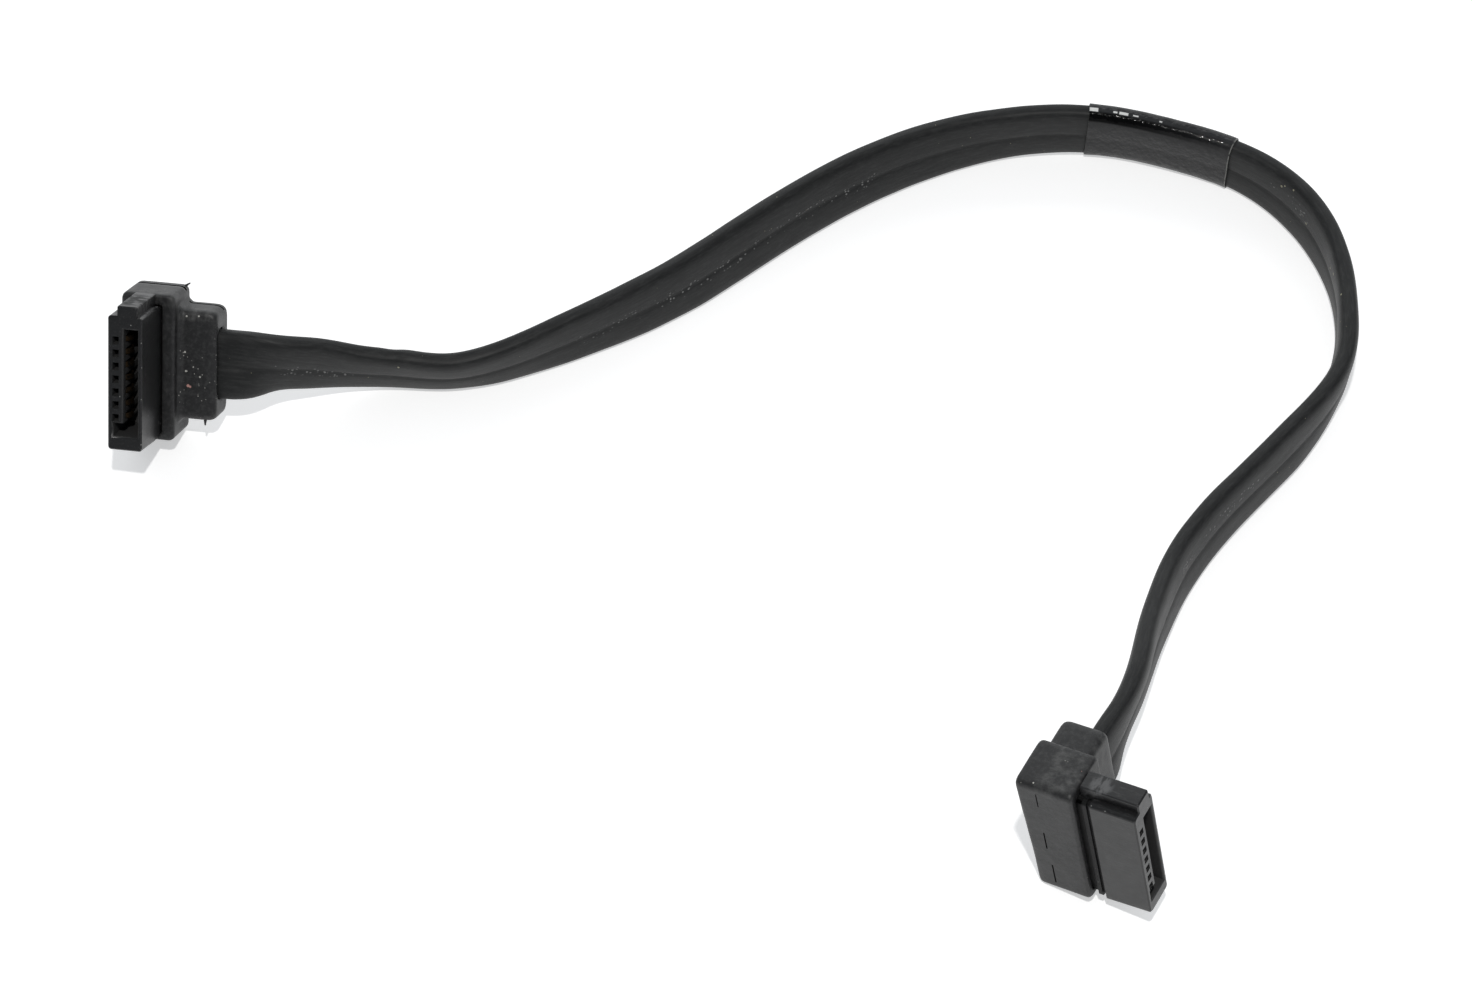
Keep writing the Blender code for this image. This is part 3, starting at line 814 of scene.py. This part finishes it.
def mouldMaterial(tag, spots):
    name = "overmouldPvc" + tag.upper()
    made, tree, shader = blankMaterial(name, mould["colour"], mould["roughness"])
    place = moving(tree)
    dull = pattern(tree, place, mould["dull"])
    rough = wandering(tree, dull, mould["roughness"], mould["roughSpread"])
    rubs = boxes(tree, place, spots["rubs"])
    flecks = specks(tree, place, *mould["fleckDots"])
    slits = boxes(tree, place, spots["slits"])
    masks = dict(
        clouds=patches(tree, place, mould["clouds"]),
        threads=patches(tree, place, mould["threads"]),
        dust=specks(tree, place, *mould["dust"]),
        slits=slits,
        rubs=sums(tree, "MULTIPLY", rubs, patches(tree, place, mould["patchMottle"])),
        paleLinesAndEdgeGlint=boxes(tree, place, spots["paleLinesAndEdgeGlint"]),
        flecks=sums(tree, "MULTIPLY", flecks, boxes(tree, place, spots["flecked"])),
        pale=dots(tree, place, spots["pale"]),
        pink=dots(tree, place, spots["pink"]),
    )
    wear(tree, shader, mould["colour"], rough, masks, mould["marks"])
    whole = sums(tree, "SUBTRACT", 1.0, slits)
    level = sums(tree, "MULTIPLY", whole, mould["sheen"])
    shader.inputs["Specular IOR Level"].default_value = mould["sheen"]
    tree.links.new(level, shader.inputs["Specular IOR Level"])
    pebble = pattern(tree, place, mould["pebble"])
    grain = pattern(tree, place, mould["grain"])
    depths = (mould["pebbleDepth"], mould["grainDepth"], mould["slitDepth"])
    dented(tree, shader, zip((pebble, grain, whole), depths))
    return made


# where the marks are, each in its connector's own millimetres: boxes are centre, half size and
# softness, and dots are centre and radius
mouldMarks = dict(
    a=dict(
        # parting line over the top and down the cable's side
        slits=(
            ((0.4, 7.5, -9.6), (2.7, 0.35, 0.1), 0.1),
            ((5.2, 5.9, -9.6), (1.8, 0.35, 0.07), 0.1),
        ),
        rubs=(((0.4, 7.2, -6.6), (2.4, 0.5, 0.7), 0.5), ((5.0, 5.6, -7.2), (1.8, 0.5, 0.5), 0.4)),
        paleLinesAndEdgeGlint=(((0.4, 7.5, -9.3), (2.6, 0.3, 0.04), 0.1),),
        flecked=(
            ((4.6, -0.6, -6.8), (1.3, 2.2, 0.4), 0.9),
            ((6.9, 0.4, -7.4), (0.25, 3.4, 0.6), 0.3),
        ),
        pale=(
            ((3.76, 1.73, -6.85), 0.13),
            ((5.27, -0.63, -6.85), 0.12),
            ((3.88, -0.17, -6.85), 0.14),
            ((3.2, -3.8, -6.85), 0.1),
            ((4.6, 0.3, -6.85), 0.09),
            ((3.1, -1.5, -6.85), 0.11),
            ((3.9, 5.3, -6.9), 0.13),
            ((5.1, 5.4, -6.9), 0.12),
            # the dots at x 6.9, round the cable's entry, are painted glints
            ((6.9, 2.9, -7.6), 0.2),
            ((6.9, 1.0, -7.6), 0.17),
            ((6.9, -2.0, -7.6), 0.22),
            ((6.9, -2.5, -7.5), 0.12),
        ),
        pink=(((4.1, -1.62, -6.85), 0.19), ((4.3, -1.7, -6.85), 0.15)),
    ),
    b=dict(
        slits=(
            ((-2.22, 5.63, -9.2), (0.4, 0.85, 0.02), 0.05),
            ((-2.22, -0.04, -9.2), (0.4, 1.1, 0.035), 0.05),
            ((-2.22, -4.7, -9.0), (0.4, 1.25, 0.04), 0.05),
        ),
        rubs=(
            ((5.3, 3.4, -6.8), (1.5, 2.6, 0.25), 0.3),
            ((3.3, 6.6, -8.2), (0.6, 0.9, 1.0), 0.6),
            ((0.2, 7.5, -7.4), (2.0, 0.4, 1.4), 0.9),
        ),
        # a painted highlight along the neck's end edge
        paleLinesAndEdgeGlint=(((6.8, 3.3, -7.05), (0.12, 2.2, 0.12), 0.15),),
        flecked=(((6.9, 0.4, -8.4), (0.25, 3.6, 1.6), 0.15),),
        pale=(
            ((-1.75, 7.4, -9.5), 0.11),
            ((-2.1, 7.35, -10.6), 0.13),
        ),
        pink=(((0.9, 7.5, -6.2), 0.05),),
    ),
)


noise.seed_set(3)  # or the wobble would differ from run to run


def wobbled(tag):
    def move(point):
        bend = noise.noise_vector(point * mould["wobbleScale"])
        moved = point + bend * mould["wobble"]
        if tag == "b" and point.z < mould["swellFrom"]:
            share = min(1.0, (mould["swellFrom"] - point.z) / mould["swellOver"])
            height = (point.y - mould["swellFoot"]) / mould["swellTall"]
            moved.z -= mould["swell"] * share * max(0.0, min(1.0, height))
        return moved

    return move


def makeMould(tag):
    piece = ownMillimetres("overmould_" + tag, tag, "outerMould" + tag.upper())
    cells = piece.modifiers.new("cells", "REMESH")
    cells.mode = "VOXEL"
    cells.voxel_size = mould["voxel"]
    soft = piece.modifiers.new("soft", "SMOOTH")
    soft.factor = 0.5
    soft.iterations = mould["smoothing"]
    settled(piece, tag, wobbled(tag), mould["flash"] if tag == "a" else ())
    piece.data.shade_smooth()
    piece.data.materials.clear()
    piece.data.materials.append(mouldMaterial(tag, mouldMarks[tag]))
    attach(piece, "root")
    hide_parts("overmould_" + tag)
    return piece


# insulator housing: crisp moulding with the slot, the windows and the rib
insulator = dict(
    rounding=dict(angle=33, shortest=1.3, offset=0.07),  # degrees and millimetres
    sharpTurn=40,  # degrees
    colour=(0.0105, 0.0105, 0.011),
    roughness=0.35,
    roughSpread=0.24,
    sheen=0.42,  # specular level
    shadeHides=0.6,  # how much less the waist, with its painted shade, and the slot, with its painted fill light, shine
    grain=(unstretched, 12.0, 3.0, 0.6),
    grainDepth=0.000007,
    drawn=((3.0, 3.0, 0.35), 2.2, 3.0, 0.6),
    drawnDepth=0.000009,
    dull=(unstretched, 0.7, 3.0, 0.6),
    threads=((4.0, 4.0, 0.9), 1.2, 4.0, 0.7, 0.52, 0.76),
    patchMottle=((1.0, 1.0, 2.0), 1.1, 3.0, 0.6, 0.35, 0.6),
    dust=(1.9, 0.14, 0.16),  # cells in a millimetre, radius and share of the cells
    # centre, half size and softness in the connector's own millimetres
    # painted shade in the recess at the waist
    waist=((-1.5, 0.0, -5.05), (0.6, 6.7, 0.68), 0.06),
    # inside the slot, painted lighter as fill light
    slotInside=((0.0, 0.0, -3.3), (1.28, 5.4, 3.15), 0.12),
    footFill=0.22,  # how much of the waist is left standing at the foot
    footBelow=-6.15,
    footAhead=-4.2,
    # colour, how strongly and how rough each mark is
    marks=dict(
        threads=((0.1, 0.1, 0.1), 0.3, 0.6),
        dust=((0.4, 0.4, 0.38), 0.6, 0.8),
        # patchA is darker on a's rib top, patchB a painted highlight on b's rib top
        patchA=((0.004, 0.004, 0.004), 0.8, 0.75),
        patchB=((0.11, 0.11, 0.112), 0.8, 0.45),
        # painted shade at the waist, and painted fill light inside the slot
        waist=((0.006, 0.006, 0.006), 0.4, 0.6),
        slotPaintedFill=((0.045, 0.045, 0.045), 0.85, 0.85),
    ),
    ribPatch=dict(a=((0.2, 7.58, -2.6), 2.6), b=((0.1, 7.58, -3.9), 1.3)),  # centre and radius; a's patch is darker, b's is a painted highlight
)


def insulatorMaterial(tag):
    name = "housingBlack" + tag.upper()
    made, tree, shader = blankMaterial(name, insulator["colour"], insulator["roughness"])
    place = moving(tree)
    dull = pattern(tree, place, insulator["dull"])
    rough = wandering(tree, dull, insulator["roughness"], insulator["roughSpread"])
    patchMottle = patches(tree, place, insulator["patchMottle"])
    patch = spotMask(tree, place, *insulator["ribPatch"][tag])
    waist = boxMask(tree, place, *insulator["waist"])
    slotPaintedFill = boxMask(tree, place, *insulator["slotInside"])
    masks = {
        "threads": patches(tree, place, insulator["threads"]),
        "dust": specks(tree, place, *insulator["dust"]),
        "patch" + tag.upper(): sums(tree, "MULTIPLY", patch, patchMottle),
        "waist": waist,
        "slotPaintedFill": slotPaintedFill,
    }
    wear(tree, shader, insulator["colour"], rough, masks, insulator["marks"])
    hidden = insulator["shadeHides"] * insulator["sheen"]
    level = scaled(tree, joined(tree, (waist, slotPaintedFill)), -hidden, insulator["sheen"])
    shader.inputs["Specular IOR Level"].default_value = insulator["sheen"]
    tree.links.new(level, shader.inputs["Specular IOR Level"])
    drawn = pattern(tree, place, insulator["drawn"])
    grain = pattern(tree, place, insulator["grain"])
    dented(tree, shader, ((drawn, insulator["drawnDepth"]), (grain, insulator["grainDepth"])))
    return made


def waistFilled(point):
    if point.y < insulator["footBelow"] and point.z < insulator["footAhead"]:
        return point - Vector((0.0, insulator["footFill"], 0.0))
    return point


def makeHousing(tag):
    piece = ownMillimetres("housing_" + tag, tag, "housing" + tag.upper(), insulator["rounding"])
    piece.data.shade_smooth()
    piece.data.set_sharp_from_angle(angle=math.radians(insulator["sharpTurn"]))
    even = piece.modifiers.new("even", "WEIGHTED_NORMAL")
    even.keep_sharp = True
    settled(piece, tag, waistFilled)
    piece.data.materials.clear()
    piece.data.materials.append(insulatorMaterial(tag))
    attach(piece, "root")
    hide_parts("housing_" + tag)
    return piece


for tag in "ab":
    makeMould(tag)
    makeHousing(tag)
print("connectors made")


# spring contacts, and what lies inside the mould
contactLook = dict(
    # the gold and its worn tone are painted dark: painted shade for the inside of the slot
    goldInPaintedShade=(0.075, 0.05, 0.028),
    worn=(0.03, 0.027, 0.024),
    roughness=0.5,
    wornPatches=(unstretched, 2.4, 3.0, 0.5, 0.45, 0.65),
    grain=(unstretched, 20.0, 2.0, 0.5),
    grainDepth=0.000002,
)
innerLook = dict(
    dark=(0.52, 0.5, 0.44),
    colour=(0.62, 0.6, 0.54),
    roughness=0.55,
    cloud=(unstretched, 0.8, 3.0, 0.5),
    grain=(unstretched, 8.0, 3.0, 0.5),
    grainDepth=0.000006,
)
foilLook = dict(
    dark=(0.5, 0.51, 0.53),
    colour=(0.7, 0.71, 0.73),
    roughness=0.32,
    creasesAndPaintedGlints=((3.0, 1.0, 1.0), 3.0, 4.0, 0.7),
    creaseDepth=0.00003,
)


def contactMaterial():
    look = contactLook
    made, tree, shader = blankMaterial("contactGoldShaded", look["goldInPaintedShade"], look["roughness"], 1.0)
    place = millimetres(tree)
    tone = mixed(tree, patches(tree, place, look["wornPatches"]), look["goldInPaintedShade"], look["worn"])
    tree.links.new(tone, shader.inputs["Base Color"])
    dented(tree, shader, ((pattern(tree, place, look["grain"]), look["grainDepth"]),))
    return made


def innerMaterial():
    look = innerLook
    made, tree, shader = blankMaterial("innerMould", look["colour"], look["roughness"])
    place = millimetres(tree)
    tone = mixed(tree, pattern(tree, place, look["cloud"]), look["dark"], look["colour"])
    tree.links.new(tone, shader.inputs["Base Color"])
    dented(tree, shader, ((pattern(tree, place, look["grain"]), look["grainDepth"]),))
    return made


def foilMaterial():
    look = foilLook
    made, tree, shader = blankMaterial("pairFoil", look["colour"], look["roughness"], 1.0)
    creasesAndPaintedGlints = pattern(tree, millimetres(tree), look["creasesAndPaintedGlints"])
    tone = mixed(tree, creasesAndPaintedGlints, look["dark"], look["colour"])
    tree.links.new(tone, shader.inputs["Base Color"])
    dented(tree, shader, ((creasesAndPaintedGlints, look["creaseDepth"]),))
    return made


kept = dict(contact=contactMaterial(), inner=innerMaterial(), pair=foilMaterial())
for name, obj in nodes.items():
    made = kept.get(name.split("_")[0])
    if made:
        obj.data.materials.clear()
        obj.data.materials.append(made)
print("inner pieces finished")

[tuple(point) for point in stations(0.0, laidLength[-1], cable["pathPoints"])[1]]


# plain pale floor, a soft panel behind the object and a small lamp above it
studio = dict(
    floorHalf=1.2,
    floorDrop=0.00002,  # keeps it clear of what rests on it
    floorColour=0.86,
    floorLift=0.47,  # what the camera sees added to the lit floor
    roomLight=(0.235, 0.25, 0.268),
    lampAt=(0.009, -0.132, 0.4),
    lampPower=3.3,
    lampRadius=0.008,
    lampColour=(1.0, 0.985, 0.965),
    panelAt=(0.0, 0.8, 0.42),
    panelSize=(1.7, 0.75),
    panelPower=4.9,
    panelColour=(0.985, 1.0, 1.005),
)


def seenRay(tree):
    path = node(tree, "ShaderNodeLightPath").outputs
    shown = sums(tree, "MAXIMUM", path["Is Camera Ray"], path["Is Glossy Ray"])
    return sums(tree, "MAXIMUM", shown, path["Is Transmission Ray"])


def makeFloor():
    bm = bmesh.new()
    bmesh.ops.create_grid(bm, x_segments=2, y_segments=2, size=studio["floorHalf"])
    bmesh.ops.translate(bm, vec=(0.0, 0.0, -studio["floorDrop"]), verts=bm.verts)
    mesh = bpy.data.meshes.new("floor")
    bm.to_mesh(mesh)
    bm.free()
    floor = bpy.data.objects.new("floor", mesh)
    bpy.context.scene.collection.objects.link(floor)
    made = bpy.data.materials.new("paleFloor")
    made.use_nodes = True
    tree = made.node_tree
    tree.nodes.clear()
    grey = studio["floorColour"]
    matt = node(tree, "ShaderNodeBsdfDiffuse", {"Color": (grey, grey, grey, 1.0)})
    glow = node(
        tree,
        "ShaderNodeEmission",
        {"Strength": sums(tree, "MULTIPLY", seenRay(tree), studio["floorLift"])},
    )
    both = node(tree, "ShaderNodeAddShader", {0: matt.outputs[0], 1: glow.outputs[0]})
    node(tree, "ShaderNodeOutputMaterial", {"Surface": both.outputs[0]})
    mesh.materials.append(made)


def makeLights():
    world = bpy.data.worlds.new("paleRoom")
    bpy.context.scene.world = world
    world.use_nodes = True
    tree = world.node_tree
    tree.nodes.clear()
    light = node(tree, "ShaderNodeBackground", {"Color": (*studio["roomLight"], 1.0)})
    white = node(tree, "ShaderNodeBackground", {"Color": (1.0, 1.0, 1.0, 1.0)})
    seen = node(tree, "ShaderNodeLightPath").outputs["Is Camera Ray"]
    either = node(tree, "ShaderNodeMixShader", {0: seen, 1: light.outputs[0], 2: white.outputs[0]})
    node(tree, "ShaderNodeOutputWorld", {"Surface": either.outputs[0]})

    small = bpy.data.lights.new("lamp", "POINT")
    small.energy = studio["lampPower"]
    small.shadow_soft_size = studio["lampRadius"]
    small.color = studio["lampColour"]
    lamp = bpy.data.objects.new("lamp", small)
    lamp.location = studio["lampAt"]
    bpy.context.scene.collection.objects.link(lamp)

    soft = bpy.data.lights.new("panel", "AREA")
    soft.shape = "RECTANGLE"
    soft.size, soft.size_y = studio["panelSize"]
    soft.energy = studio["panelPower"]
    soft.color = studio["panelColour"]
    panel = bpy.data.objects.new("panel", soft)
    panel.location = studio["panelAt"]
    panel.rotation_euler = Vector(studio["panelAt"]).to_track_quat("Z", "Y").to_euler()
    bpy.context.scene.collection.objects.link(panel)


makeFloor()
makeLights()
bpy.context.scene.view_settings.view_transform = "Standard"
print("floor and lights made")
